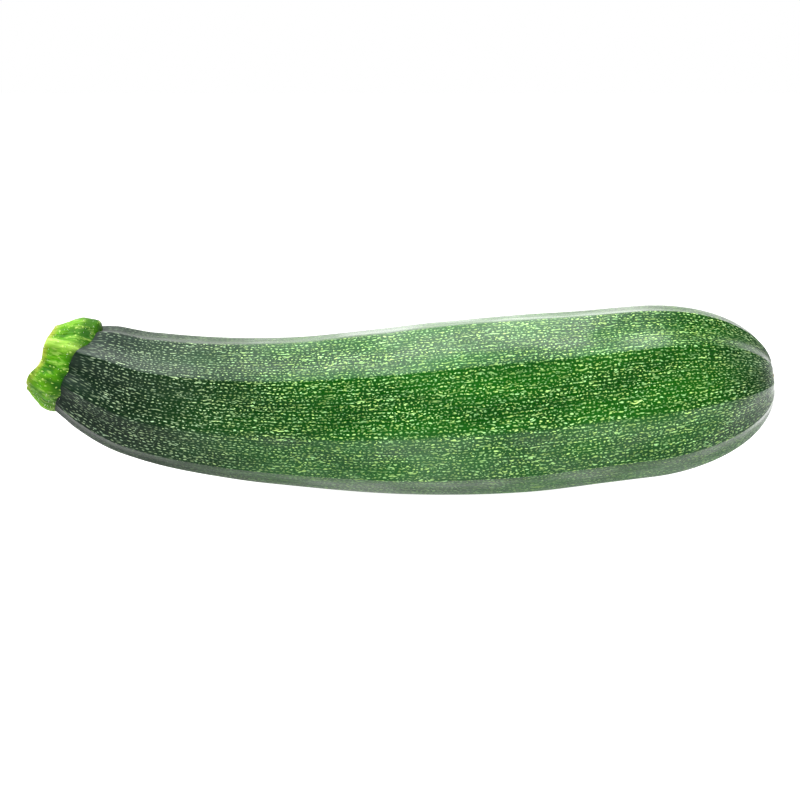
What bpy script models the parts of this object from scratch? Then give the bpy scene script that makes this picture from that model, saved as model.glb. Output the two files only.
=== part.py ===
"""A courgette lying on its belly, as picked: the ribbed fruit and the cut stub of its stalk.

Metres, +Z up. +X runs from the stalk to the blossom end, and -Y is the front. Angles round a cross
section are in degrees from the front, through the top. The origin is the middle of the bounding
box's underside.
"""

import math

import bmesh
import bpy
from mathutils import Vector

# The fruit's centre line, (x, z), from the seat of the stalk to the blossom end.
SPINE = (
    (-0.0798, 0.0310),
    (-0.0653, 0.0253),
    (-0.0408, 0.0217),
    (-0.0103, 0.0209),
    (0.0304, 0.0229),
    (0.0711, 0.0270),
    (0.0953, 0.0295),
)
SPINE_STEPS = 400

# Radius over the ridges, (distance along the spine, radius).
GIRTH = (
    (0.000, 0.0123),
    (0.004, 0.0142),
    (0.016, 0.0162),
    (0.040, 0.0181),
    (0.056, 0.0192),
    (0.071, 0.0207),
    (0.091, 0.0223),
    (0.112, 0.0229),
    (0.132, 0.0224),
    (0.177, 0.0219),
)
BLOSSOM_DOME = 0.034  # length of the rounded blossom end
DOME_POWER = 0.44  # under 0.5 makes the dome blunter than an ellipse
DIMPLE_RADIUS = 0.0034
DIMPLE_DEPTH = 0.0009

# The fruit's ten ridges at mid length.
RIDGES = (-12, 33, 73, 108, 146, 184, 219, 254, 286, 313)
TWIST = 12  # degrees the ridges turn from end to end
FLATNESS = 0.8  # 1 makes the facets between the ridges flat at mid length
END_FOLD = 0.7  # how much deeper they lie at both ends
RIDGE_ROUNDING = 1.3
FACET_STEPS = 6
RINGS = 48
POLE_MARGIN = 1e-6

REST_DEPTH = 0.0006  # how far the belly is flattened where it rests
GAP = 0.0003

# The stalk: a five-ridged stub on the seat, cut across at a slant.
STALK_OFFSET = (-0.0112, 0.0036)  # from the seat's centre to the cut's centre, (x, z)
# Radius over its ridges, (share of the way from the seat to the cut, radius).
STALK_GIRTH = ((0.0, 0.0116), (0.15, 0.0128), (0.35, 0.0129), (0.75, 0.0106), (1.0, 0.0090))
STALK_RIDGES = (-37, 30, 93, 173, 268)
GROOVE_AT_SEAT = 0.05  # depth of the grooves between the ridges, as a share of the radius
GROOVE_AT_CUT = 0.13
CUT_RISE = 25.5  # degrees that the cut face looks up from level
CUT_TURN = 8  # degrees that it looks towards the back
GROOVE_STEPS = 10
STALK_RINGS = 8

FRONT = Vector((0.0, -1.0, 0.0))

SKIN_GREEN = (0.022, 0.105, 0.016, 1.0)
SKIN_ROUGHNESS = 0.35
STALK_GREEN = (0.16, 0.36, 0.035, 1.0)
STALK_ROUGHNESS = 0.5
SHARP_ANGLE = 40  # degrees between faces from which an edge is shaded sharp


def clear_scene():
    for old in list(bpy.data.objects):
        bpy.data.objects.remove(old, do_unlink=True)


def collection(name):
    made = bpy.data.collections.new(name)
    bpy.context.scene.collection.children.link(made)
    return made


def material(name, colour, roughness):
    made = bpy.data.materials.new(name)
    made.use_nodes = True
    shader = made.node_tree.nodes["Principled BSDF"]
    shader.inputs["Base Color"].default_value = colour
    shader.inputs["Roughness"].default_value = roughness
    shader.inputs["Metallic"].default_value = 0.0
    made.diffuse_color = colour
    return made


def smooth_value(points, x):
    """The height at x of a smooth curve through points, which go up in x."""
    last = len(points) - 2
    i = next((k for k in range(last) if x < points[k + 1][0]), last)
    (x0, y0), (x1, y1) = points[i], points[i + 1]

    def slope(k):
        before, after = points[max(k - 1, 0)], points[min(k + 1, len(points) - 1)]
        return (after[1] - before[1]) / (after[0] - before[0])

    width = x1 - x0
    t = min(max((x - x0) / width, 0.0), 1.0)
    rise = slope(i) * width
    fall = slope(i + 1) * width
    return (
        (2 * t**3 - 3 * t**2 + 1) * y0
        + (t**3 - 2 * t**2 + t) * rise
        + (3 * t**2 - 2 * t**3) * y1
        + (t**3 - t**2) * fall
    )


class Spine:
    """The centre line, read by distance from the stalk's seat."""

    def __init__(self, points):
        x0, x1 = points[0][0], points[-1][0]
        xs = [x0 + (x1 - x0) * k / SPINE_STEPS for k in range(SPINE_STEPS + 1)]
        self.points = [Vector((x, 0.0, smooth_value(points, x))) for x in xs]
        self.distances = [0.0]
        for a, b in zip(self.points, self.points[1:]):
            self.distances.append(self.distances[-1] + (b - a).length)
        self.length = self.distances[-1]

    def at(self, distance):
        """The point there, and the directions along the spine and up from it."""
        last = len(self.points) - 2
        i = next((k for k in range(last) if distance < self.distances[k + 1]), last)
        step = self.points[i + 1] - self.points[i]
        along = step.normalized()
        point = self.points[i] + along * (distance - self.distances[i])
        return point, along, Vector((-along.z, 0.0, along.x))


def place_between_ridges(vert, ridges, steps):
    """For a vertex of a round ring: the angle it moves to, its facet's width and its share across.

    Each facet, from one ridge to the next, takes the same number of the ring's steps.
    """
    turn = math.atan2(vert.co.y, vert.co.x) / (2 * math.pi) % 1.0
    facet, step = divmod(round(turn * steps * len(ridges)) % (steps * len(ridges)), steps)
    end = ridges[facet + 1] if facet + 1 < len(ridges) else ridges[0] + 360
    width = end - ridges[facet]
    return ridges[facet] + width * step / steps, width, step / steps


def dome_share(distance, length):
    """The share of the girth left at a distance along the fruit, as the blossom end rounds off."""
    inside = min(max(1 - (length - distance) / BLOSSOM_DOME, 0.0), 1.0)
    return (1 - inside**2) ** DOME_POWER


def section_radius(distance, length, width, across):
    """The radius at a share across a facet of a width in degrees."""
    ridge = smooth_value(GIRTH, distance) * dome_share(distance, length)
    ends = abs(2 * distance / length - 1) ** 3
    flat_drop = 1 - math.cos(math.radians(width / 2))
    drop = flat_drop * (FLATNESS + END_FOLD * ends)
    return ridge * (1 - drop * math.sin(math.pi * across) ** RIDGE_ROUNDING)


def shape_fruit(bm, spine):
    """Spreads a unit sphere's rings along the spine, its poles being the fruit's two ends."""
    for vert in bm.verts:
        distance = spine.length * (1 - vert.co.z) / 2
        turned = TWIST * (distance / spine.length - 0.5)
        angle, width, across = place_between_ridges(vert, RIDGES, FACET_STEPS)
        angle = math.radians(angle + turned)
        radius = section_radius(distance, spine.length, width, across)
        if abs(vert.co.z) > 1 - POLE_MARGIN:
            radius = 0.0
        point, along, up = spine.at(distance)
        if vert.co.z < 0:
            point -= along * DIMPLE_DEPTH * math.exp(-((radius / DIMPLE_RADIUS) ** 2))
        vert.co = point + radius * (math.cos(angle) * FRONT + math.sin(angle) * up)


def flatten_belly(bm):
    """Cuts the lowest of the belly away, which leaves one level face to rest on."""
    level = min(vert.co.z for vert in bm.verts) + REST_DEPTH
    parts = list(bm.verts) + list(bm.edges) + list(bm.faces)
    cut = bmesh.ops.bisect_plane(
        bm, geom=parts, plane_co=(0, 0, level), plane_no=(0, 0, 1), clear_inner=True
    )
    rim = [item for item in cut["geom_cut"] if isinstance(item, bmesh.types.BMEdge)]
    bmesh.ops.contextual_create(bm, geom=rim)


def finish(bm, name, home, finish_material):
    """Makes a named, smooth shaded object of the mesh."""
    bm.normal_update()
    bmesh.ops.recalc_face_normals(bm, faces=bm.faces)
    mesh = bpy.data.meshes.new(name)
    bm.to_mesh(mesh)
    bm.free()
    mesh.shade_smooth()
    mesh.set_sharp_from_angle(angle=math.radians(SHARP_ANGLE))
    mesh.materials.append(finish_material)
    made = bpy.data.objects.new(name, mesh)
    home.objects.link(made)
    return made


def make_fruit(home, spine):
    bm = bmesh.new()
    bmesh.ops.create_uvsphere(
        bm, u_segments=FACET_STEPS * len(RIDGES), v_segments=RINGS, radius=1.0
    )
    shape_fruit(bm, spine)
    flatten_belly(bm)
    return finish(bm, "fruit", home, material("courgette_skin", SKIN_GREEN, SKIN_ROUGHNESS))


def stalk_frame(share, spine):
    """The centre, sideways and up directions of the stalk's section at a share of its length."""
    seat, along, _ = spine.at(0.0)
    start = seat - along * GAP
    centre = start + Vector((STALK_OFFSET[0], 0.0, STALK_OFFSET[1])) * share
    rise, turn = math.radians(CUT_RISE), math.radians(CUT_TURN)
    cut_faces = Vector(
        (-math.cos(rise) * math.cos(turn), math.cos(rise) * math.sin(turn), math.sin(rise))
    )
    faces = (-along).lerp(cut_faces, share).normalized()
    front = (FRONT - faces * FRONT.dot(faces)).normalized()
    return centre, front, faces.cross(front)


def make_stalk(home, spine):
    """Reshapes a cylinder into the lobed stub, its lower cap on the seat and its upper cap the cut."""
    bm = bmesh.new()
    bmesh.ops.create_cone(
        bm,
        segments=GROOVE_STEPS * len(STALK_RIDGES),
        cap_ends=True,
        radius1=1.0,
        radius2=1.0,
        depth=1.0,
    )
    sides = [edge for edge in bm.edges if abs(edge.verts[0].co.z - edge.verts[1].co.z) > 0.5]
    bmesh.ops.subdivide_edges(bm, edges=sides, cuts=STALK_RINGS - 2, use_grid_fill=True)
    for vert in bm.verts:
        share = vert.co.z + 0.5
        angle, _, across = place_between_ridges(vert, STALK_RIDGES, GROOVE_STEPS)
        angle = math.radians(angle)
        groove = GROOVE_AT_SEAT + (GROOVE_AT_CUT - GROOVE_AT_SEAT) * share
        radius = smooth_value(STALK_GIRTH, share) * (1 - groove * math.sin(math.pi * across))
        centre, front, up = stalk_frame(share, spine)
        vert.co = centre + radius * (math.cos(angle) * front + math.sin(angle) * up)
    return finish(bm, "stalk", home, material("stalk_green", STALK_GREEN, STALK_ROUGHNESS))


def set_origin(pieces):
    """Places the pieces so that the world origin is the middle of their box's underside."""
    corners = [vert.co for piece in pieces for vert in piece.data.vertices]
    low = [min(co[k] for co in corners) for k in range(3)]
    high = [max(co[k] for co in corners) for k in range(3)]
    for piece in pieces:
        piece.location = (-(low[0] + high[0]) / 2, -(low[1] + high[1]) / 2, -low[2])


def main():
    clear_scene()
    home = collection("courgette")
    spine = Spine(SPINE)
    set_origin([make_fruit(home, spine), make_stalk(home, spine)])


main()
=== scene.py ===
"""The looks of a courgette lying on its belly: ribbed flecked skin, cut stalk and blossom scar.

Metres, in the frame's axes: +X from the stalk to the blossom end, +Z up, the viewer at -Y.
Angles round a section are in degrees from the front, through the top.
"""

import math

import bmesh
import bpy
import numpy as np
from mathutils import Matrix, Vector, noise


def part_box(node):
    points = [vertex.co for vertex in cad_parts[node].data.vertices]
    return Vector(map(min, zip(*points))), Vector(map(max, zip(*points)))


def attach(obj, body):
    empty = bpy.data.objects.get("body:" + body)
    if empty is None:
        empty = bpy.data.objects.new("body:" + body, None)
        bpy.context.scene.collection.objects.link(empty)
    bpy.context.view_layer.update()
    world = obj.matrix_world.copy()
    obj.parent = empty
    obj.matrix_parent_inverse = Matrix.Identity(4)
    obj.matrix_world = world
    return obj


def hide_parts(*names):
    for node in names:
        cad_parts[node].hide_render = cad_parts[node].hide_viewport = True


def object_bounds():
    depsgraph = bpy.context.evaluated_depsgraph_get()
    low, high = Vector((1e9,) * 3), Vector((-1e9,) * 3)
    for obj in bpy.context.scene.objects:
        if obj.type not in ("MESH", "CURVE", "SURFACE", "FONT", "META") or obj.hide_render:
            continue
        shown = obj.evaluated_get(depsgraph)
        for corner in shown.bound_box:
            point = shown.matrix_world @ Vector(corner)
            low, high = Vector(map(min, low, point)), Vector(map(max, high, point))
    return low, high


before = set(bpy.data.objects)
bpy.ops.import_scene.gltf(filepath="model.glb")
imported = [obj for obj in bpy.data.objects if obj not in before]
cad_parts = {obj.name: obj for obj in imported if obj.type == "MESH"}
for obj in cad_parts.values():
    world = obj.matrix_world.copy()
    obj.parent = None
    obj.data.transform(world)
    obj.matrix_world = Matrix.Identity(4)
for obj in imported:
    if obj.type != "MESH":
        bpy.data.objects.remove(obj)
CAD_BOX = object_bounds()
BODY = "root"
FRONT = Vector((0.0, -1.0, 0.0))
FRUIT_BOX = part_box("fruit")

# The fruit's centre line, (x, z), in its own axes, from the stalk's seat to the blossom end.
SPINE = (
    (-0.0798, 0.0310),
    (-0.0653, 0.0253),
    (-0.0408, 0.0217),
    (-0.0103, 0.0209),
    (0.0304, 0.0229),
    (0.0711, 0.0270),
    (0.0953, 0.0295),
)
# Radius over the ridges, (distance along the spine, radius).
GIRTH = (
    (0.000, 0.0123),
    (0.004, 0.0142),
    (0.016, 0.0162),
    (0.040, 0.0181),
    (0.056, 0.0192),
    (0.071, 0.0207),
    (0.091, 0.0223),
    (0.112, 0.0229),
    (0.132, 0.0224),
    (0.177, 0.0219),
)
SPINE_POINTS = 240
RIDGES = (-12, 33, 73, 108, 146, 184, 219, 254, 286, 313)
PRESS = 0.0005  # height over which the flattened belly rounds off

STALK_OFFSET = (-0.0112, 0.0036)  # from the seat's centre to the cut's centre, (x, z)
STALK_RIDGES = (-37, 30, 93, 173, 268)
CUT_RISE = 25.5  # degrees that the cut face looks up from level
CUT_TURN = 3  # degrees that it looks towards the back
STALK_LENGTH = 0.0118
STALK_PATTERN_RADIUS = 0.008  # the stalk's patterns lie on a tube of this radius
SEAT_STEPS = 400  # the seat's direction is read over this share of the spine's first stretch
FOOT_SHARE = 0.25  # how far the stalk's feet reach over the fruit's shoulder, in stalk lengths
# Radius in the grooves, by share of the length.
VALLEY_GIRTH = ((0.0, 0.0092), (0.3, 0.0094), (0.5, 0.0094), (0.7, 0.0086), (1.0, 0.0071))
FOOT_FLARE = 0.35  # how far the feet follow the shoulder as it widens
FOOT_DIVE = 0.0024  # how far their ends go under the skin
# Each lobe's angle at the seat and at the cut, half width, heights at the seat, at 0.4 of the
# length and at the cut, the share of the length at which its nose starts, and paleness, which is
# partly the lobes' own lime and partly painted light: the top lobe is paler and the lower front
# lobe darker, as if lit from above.
STALK_LOBES = (
    dict(seat=-30, cut=-36, width=29, heights=(0.0004, 0.0021, 0.0027), nose=0.06, pale=0.05),
    dict(seat=32, cut=38, width=12, heights=(0.0008, 0.0020, 0.0021), nose=0.03, pale=0.6),
    dict(seat=86, cut=83, width=30, heights=(0.0046, 0.0040, 0.0021), nose=-0.05, pale=0.4),
    dict(seat=173, cut=170, width=22, heights=(0.0010, 0.0026, 0.0022), nose=0.1, pale=0.4),
    dict(seat=266, cut=268, width=20, heights=(0.0012, 0.0032, 0.0020), nose=-0.02, pale=0.9),
)
RIM_DIP = 0.0014  # how far the cut's rim sinks in the groove beside the pale lobe
DIP_ANGLE = 4
DIP_WIDTH = 19
NOSE_LENGTH = 0.22  # share of the length over which a lobe's nose rounds up
PALE_LOBE = 1
# The rim rolls in to the recess for the cut: (height over the cut, share of the radius).
RIM_ROLL = (
    *((0.0, 1.0), (0.0002, 0.965), (0.00022, 0.93)),
    *((0.0, 0.89), (-0.0006, 0.86), (-0.0007, 0.4)),
)
WALL_RINGS = 64
RING_CROWDING = 1.1  # over 1 crowds the rings towards the feet
STUB_STEPS = 180
CUT_RINGS = 22
CUT_PLATE = 0.90  # the cut face's share of the stub's radius
PITH_RING = 0.55  # share of the radius at which the ten bundles stand

SCAR_RADIUS = 0.0031
SCAR_HOLLOW = 0.0009
SCAR_RINGS = 16
SCAR_STEPS = 72
SCAR_STEP_IN = 0.0002  # the spine's direction is read over this much of its end

# Linear colours. The skin's ground runs from the stalk to the blossom end, near-black at the stalk:
# partly the neck's own dark green, partly painted shade of the crevice beside the stalk.
GROUND_DEEP = [
    (0.0, (0.0008, 0.0050, 0.0016)),
    (0.12, (0.0008, 0.0090, 0.0010)),
    (0.33, (0.0007, 0.0260, 0.0003)),
    (0.60, (0.0009, 0.0340, 0.0002)),
    (0.86, (0.0014, 0.0290, 0.0006)),
    (1.0, (0.0040, 0.0160, 0.0045)),
]
GROUND_VIVID = [
    (0.0, (0.0024, 0.0120, 0.0040)),
    (0.12, (0.0030, 0.0220, 0.0030)),
    (0.33, (0.0036, 0.0620, 0.0005)),
    (0.60, (0.0046, 0.0820, 0.0005)),
    (0.86, (0.0060, 0.0740, 0.0012)),
    (1.0, (0.0110, 0.0420, 0.0110)),
]
FLECKS_COOL = [
    (0.0, (0.30, 0.42, 0.28)),
    (0.15, (0.38, 0.58, 0.34)),
    (0.30, (0.46, 0.88, 0.34)),
    (0.90, (0.48, 0.92, 0.34)),
    (1.0, (0.46, 0.70, 0.42)),
]
FLECKS_WARM = [
    (0.0, (0.36, 0.48, 0.28)),
    (0.15, (0.52, 0.72, 0.34)),
    (0.30, (0.60, 0.94, 0.24)),
    (0.90, (0.62, 0.95, 0.24)),
    (1.0, (0.58, 0.76, 0.40)),
]
GRAIN = [
    (0.0, (0.004, 0.016, 0.006)),
    (0.15, (0.006, 0.034, 0.006)),
    (0.40, (0.004, 0.100, 0.002)),
    (0.90, (0.006, 0.110, 0.002)),
    (1.0, (0.024, 0.080, 0.024)),
]
BLOTCH = (0.42, 0.66, 0.10, 1.0)
SHEEN_TINT = (0.80, 1.0, 0.95, 1.0)

# Layers of flecks: rows round the fruit, metres from cell to cell along a row, and a fleck's half
# length and half width as shares of its cell.
GRAIN_FLECKS = {"Rows": 330.0, "Pitch": 0.0006, "Length": 0.3, "Width": 0.36}
FINE_FLECKS = {"Rows": 126.0, "Pitch": 0.00125, "Length": 0.31, "Width": 0.18}
SMALL_FLECKS = {"Rows": 173.0, "Pitch": 0.00105, "Length": 0.27, "Width": 0.18}
DASHES = {"Rows": 97.0, "Pitch": 0.0033, "Length": 0.3, "Width": 0.13}
BLOTCHES = {"Spacing": 0.013, "Stretch": 4.0, "Size": 0.08, "Waver": 0.3, "Softness": 0.7}
# The middles of the facet on top and of the facets beneath, in turns round the fruit.
TOP_FACET = 0.252
UNDER_FACETS = 0.78

STALK_SHADE = (0.008, 0.060, 0.001, 1.0)
STALK_DEEP = (0.010, 0.080, 0.0005, 1.0)
STALK_BRIGHT = (0.055, 0.230, 0.0006, 1.0)
STALK_LIME = (0.180, 0.420, 0.008, 1.0)
# Painted highlight along the pale lobe.
STALK_PAINTED_HIGHLIGHT = (0.300, 0.500, 0.080, 1.0)
STALK_RIM = (0.340, 0.300, 0.045, 1.0)
HAIR_WHITE = (0.520, 0.720, 0.160, 1.0)
PORE = (0.36, 0.36, 0.16, 1.0)
DRIED_PITH = (0.45, 0.34, 0.16, 1.0)
BRISTLE_COLOURS = ((0.75, 0.82, 0.55, 1.0), (0.9, 0.92, 0.8, 1.0))
CORK_COLOURS = ((0.30, 0.24, 0.12, 1.0), (0.14, 0.13, 0.05, 1.0))
# From the cut face's edge to its middle.
PITH = [
    (0.0, (0.20, 0.32, 0.05)),
    (0.10, (0.45, 0.52, 0.17)),
    (0.30, (0.58, 0.64, 0.32)),
    (0.42, (0.50, 0.56, 0.24)),
    (0.60, (0.62, 0.66, 0.40)),
    (0.90, (0.70, 0.70, 0.50)),
    (1.0, (0.52, 0.50, 0.30)),
]

FLOOR_SIZE = 8.0
FLOOR_GLOW = 1.0
SKY_GLOW = 1.0
MIRRORED_SKY_GLOW = 0.03
# Each light's name, place, aim, size and power, and whether the skin mirrors it.
LIGHTS = (
    ("overhead_softbox", (-0.2, 0.0, 0.7), (0.0, 0.0, 0.0), (1.2, 0.8), 13.0, True),
    ("top_fill", (-0.3, -0.2, 0.8), (0.0, 0.0, 0.0), (1.2, 0.6), 7.5, False),
    ("back_strip", (0.0, 1.1, 0.16), (0.0, 0.0, 0.02), (1.6, 0.2), 2.0, True),
    ("back_softbox", (0.0, 1.1, 0.56), (0.0, 0.0, 0.02), (1.6, 0.6), 4.2, True),
    ("end_softbox", (1.0, 0.75, 0.4), (0.08, 0.0, 0.03), (0.8, 0.6), 1.6, True),
    ("front_fill", (0.0, -0.9, 0.35), (0.0, 0.0, 0.02), (1.3, 0.7), 5.4, False),
)

LENS = 120.0
SENSOR = 36.0
VIEW_RISE = 8.0  # degrees that the camera looks down
VIEW_WIDTH = 1.071  # in lengths of the courgette
VIEW_DROP = 0.0001


# Node trees


class Net:
    """Adds nodes to a tree. An input is given as a value or as the socket that feeds it."""

    def __init__(self, tree):
        self.tree = tree

    def add(self, kind, feeds=None, **settings):
        node = self.tree.nodes.new(kind)
        for name, value in settings.items():
            setattr(node, name, value)
        self.feed_all(node, feeds or {})
        return node

    def first(self, kind, feeds=None, **settings):
        """A new node's first output."""
        return self.add(kind, feeds, **settings).outputs[0]

    def feed_all(self, node, feeds):
        for name, value in feeds.items():
            self.feed(node.inputs[name], value)

    def feed(self, socket, value):
        if isinstance(value, bpy.types.NodeSocket):
            self.tree.links.new(value, socket)
        else:
            socket.default_value = value

    def math(self, operation, *values, clamp=False):
        feeds = dict(enumerate(values))
        return self.first("ShaderNodeMath", feeds, operation=operation, use_clamp=clamp)

    def plus(self, a, b):
        return self.math("ADD", a, b)

    def over(self, a, b):
        return self.math("DIVIDE", a, b)

    def times(self, a, b, clamp=False):
        return self.math("MULTIPLY", a, b, clamp=clamp)

    def times_add(self, a, b, c):
        """a * b + c."""
        return self.math("MULTIPLY_ADD", a, b, c)

    def minus(self, a, b, clamp=False):
        return self.math("SUBTRACT", a, b, clamp=clamp)

    def vector(self, operation, *values):
        """Vector maths. A plain number as the second value is a scale."""
        node = self.add("ShaderNodeVectorMath", operation=operation)
        for k, value in enumerate(values):
            name = "Scale" if operation == "SCALE" and k == 1 else k
            self.feed(node.inputs[name], value)
        return node.outputs["Value" if operation in ("DOT_PRODUCT", "LENGTH") else "Vector"]

    def combine(self, x=0.0, y=0.0, z=0.0):
        return self.first("ShaderNodeCombineXYZ", {"X": x, "Y": y, "Z": z})

    def separate(self, vector):
        return self.add("ShaderNodeSeparateXYZ", {0: vector}).outputs

    def blend(self, factor, low, high):
        """A mix of two numbers."""
        feeds = {0: factor, 2: low, 3: high}
        return self.first("ShaderNodeMix", feeds, data_type="FLOAT", clamp_factor=True)

    def tint(self, factor, low, high):
        """A mix of two colours."""
        feeds = {0: factor, 6: low, 7: high}
        return self.add("ShaderNodeMix", feeds, data_type="RGBA", clamp_factor=True).outputs[2]

    def span(self, value, low, high, to_low=0.0, to_high=1.0):
        """Maps a value's range onto another, eased and held at its ends."""
        feeds = {"Value": value, "From Min": low, "From Max": high}
        feeds.update({"To Min": to_low, "To Max": to_high})
        return self.first("ShaderNodeMapRange", feeds, interpolation_type="SMOOTHSTEP")

    def noise(self, place, scale, detail=2.0):
        feeds = {"Vector": place, "Scale": scale, "Detail": detail}
        return self.add("ShaderNodeTexNoise", feeds).outputs

    def ramp(self, value, stops):
        """A colour ramp through (place, colour) stops."""
        node = self.add("ShaderNodeValToRGB", {"Fac": value})
        points = node.color_ramp.elements
        while len(points) < len(stops):
            points.new(1.0)
        for point, (place, colour) in zip(points, stops):
            point.position = place
            point.color = (*colour, 1.0)
        return node.outputs["Color"]

    def attribute(self, name):
        return self.add("ShaderNodeAttribute", attribute_name=name).outputs


def geometry_tree(name, numbers, **others):
    """A geometry tree with one carried geometry, named numbers and other inputs by kind."""
    tree = bpy.data.node_groups.new(name, "GeometryNodeTree")
    tree.interface.new_socket("Geometry", in_out="OUTPUT", socket_type="NodeSocketGeometry")
    tree.interface.new_socket("Geometry", in_out="INPUT", socket_type="NodeSocketGeometry")
    kinds = {name: "Int" if isinstance(value, int) else "Float" for name, value in numbers.items()}
    for label, kind in {**kinds, **others}.items():
        tree.interface.new_socket(label, in_out="INPUT", socket_type="NodeSocket" + kind)
    net = Net(tree)
    return tree, net, net.add("NodeGroupInput").outputs


def end_tree(net, geometry, material):
    """Ends a tree: everything realized, shaded smooth and in its material."""
    smooth = net.first("GeometryNodeSetShadeSmooth", {"Geometry": geometry})
    solid = net.first("GeometryNodeRealizeInstances", {"Geometry": smooth})
    dressed = net.first("GeometryNodeSetMaterial", {"Geometry": solid, "Material": material})
    net.add("NodeGroupOutput", {"Geometry": dressed})


def store(net, geometry, name, kind, value, domain="POINT"):
    """Keeps a field on the mesh, for the material to read."""
    feeds = {"Geometry": geometry, "Name": name, "Value": value}
    return net.first("GeometryNodeStoreNamedAttribute", feeds, data_type=kind, domain=domain)


def new_object(name, data):
    made = bpy.data.objects.new(name, data)
    bpy.context.scene.collection.objects.link(made)
    return made


def grown(name, tree, values, base=None):
    """Runs a geometry tree with its named inputs set, and returns the result as a plain mesh."""
    seed = new_object(name + "_seed", base or bpy.data.meshes.new(name + "_seed"))
    modifier = seed.modifiers.new("grow", "NODES")
    modifier.node_group = tree
    for item in tree.interface.items_tree:
        if item.in_out == "INPUT" and item.name in values:
            modifier[item.identifier] = values[item.name]
    bpy.context.view_layer.update()
    shaped = seed.evaluated_get(bpy.context.evaluated_depsgraph_get())
    mesh = bpy.data.meshes.new_from_object(shaped)
    mesh.name = name
    bpy.data.objects.remove(seed)
    return new_object(name, mesh)


# Shape rules


def smooth_value(points, x):
    """The height at x of a smooth curve through points, which go up in x."""
    last = len(points) - 2
    i = next((k for k in range(last) if x < points[k + 1][0]), last)
    (x0, y0), (x1, y1) = points[i], points[i + 1]

    def slope(k):
        before, after = points[max(k - 1, 0)], points[min(k + 1, len(points) - 1)]
        return (after[1] - before[1]) / (after[0] - before[0])

    width = x1 - x0
    t = min(max((x - x0) / width, 0.0), 1.0)
    return (
        (2 * t**3 - 3 * t**2 + 1) * y0
        + (t**3 - 2 * t**2 + t) * slope(i) * width
        + (3 * t**2 - 2 * t**3) * y1
        + (t**3 - t**2) * slope(i + 1) * width
    )


def bell(away, width):
    """1 at no distance, falling off to both sides over a width."""
    return math.exp(-((away / width) ** 2))


def fruit_guide():
    """The fruit's centre line as a curve object, its girth in the radius of its points."""
    first, last = SPINE[0][0], SPINE[-1][0]
    steps = [first + (last - first) * k / (SPINE_POINTS - 1) for k in range(SPINE_POINTS)]
    places = [Vector((x, 0.0, smooth_value(SPINE, x))) for x in steps]
    distances = [0.0]
    for a, b in zip(places, places[1:]):
        distances.append(distances[-1] + (b - a).length)
    curve = bpy.data.curves.new("fruit_guide", "CURVE")
    curve.dimensions = "3D"
    line = curve.splines.new("POLY")
    line.points.add(len(places) - 1)
    for point, place, distance in zip(line.points, places, distances):
        point.co = (*place, 1.0)
        point.radius = smooth_value(GIRTH, distance)
    return new_object("fruit_guide", curve)


def crest(net, angle, ridges, sharpness):
    """1 on the nearest of some ridges, falling towards 0 between them."""
    nearest = 0.0
    for ridge in ridges:
        away = net.minus(angle, net.math("RADIANS", ridge))
        near = net.times_add(net.math("COSINE", away), 0.5, 0.5)
        nearest = net.math("MAXIMUM", nearest, near)
    return net.math("POWER", nearest, sharpness)


def fading(net, distance, length):
    """1 at no distance, falling off over a length."""
    return net.math("EXPONENT", net.times(net.over(distance, length), -1.0))


def round_grid(net, rings, steps):
    """A grid to roll into a tube, with each point's share along it and round it."""
    feeds = {"Size X": 1.0, "Size Y": 1.0, "Vertices X": rings, "Vertices Y": steps}
    sheet = net.add("GeometryNodeMeshGrid", feeds).outputs["Mesh"]
    place = net.separate(net.first("GeometryNodeInputPosition"))
    return sheet, net.plus(place[0], 0.5), net.plus(place[1], 0.5)


# The fruit


FRUIT_VALUES = {
    "Rings": 368,
    "Facet Steps": 26,
    "Twist": 12.0,
    "Top Hold": 1.6,
    "Flatness": 0.85,
    "End Fold": 1.2,
    "Ridge Rounding": 1.15,
    "Dome Length": 0.034,
    "Dome Power": 0.44,
    "Dimple Radius": 0.0034,
    "Dimple Depth": 0.0009,
    "Lap": 0.0037,
    "Lip": 0.0003,
    "Lip Length": 0.0022,
    "Curl": 0.09,
    "Curl Length": 0.0005,
    "Swell": 0.0004,
    "Ripple": 0.00007,
    **{f"Ridge {k + 1}": float(angle) for k, angle in enumerate(RIDGES)},
    **{f"Stalk Ridge {k + 1}": float(angle) for k, angle in enumerate(STALK_RIDGES)},
}
SWELL_SIZE = 0.028
RIPPLE_SIZE = 0.0045
RIPPLE_DRAW = (0.45, 1.0, 1.0)  # the ripples are drawn out along the fruit
PATTERN_RADIUS = 0.022
TOP_ANGLE = 90.0
TOP_REACH = 35.0  # degrees round the top over which Top Hold acts
STALK_RIDGE_SHARPNESS = 45.0
RING_SPACING = 0.6  # how far the map's rows follow the real spacing of the rings
POLE_MARGIN = 1e-6
MERGE = 2e-6


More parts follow.
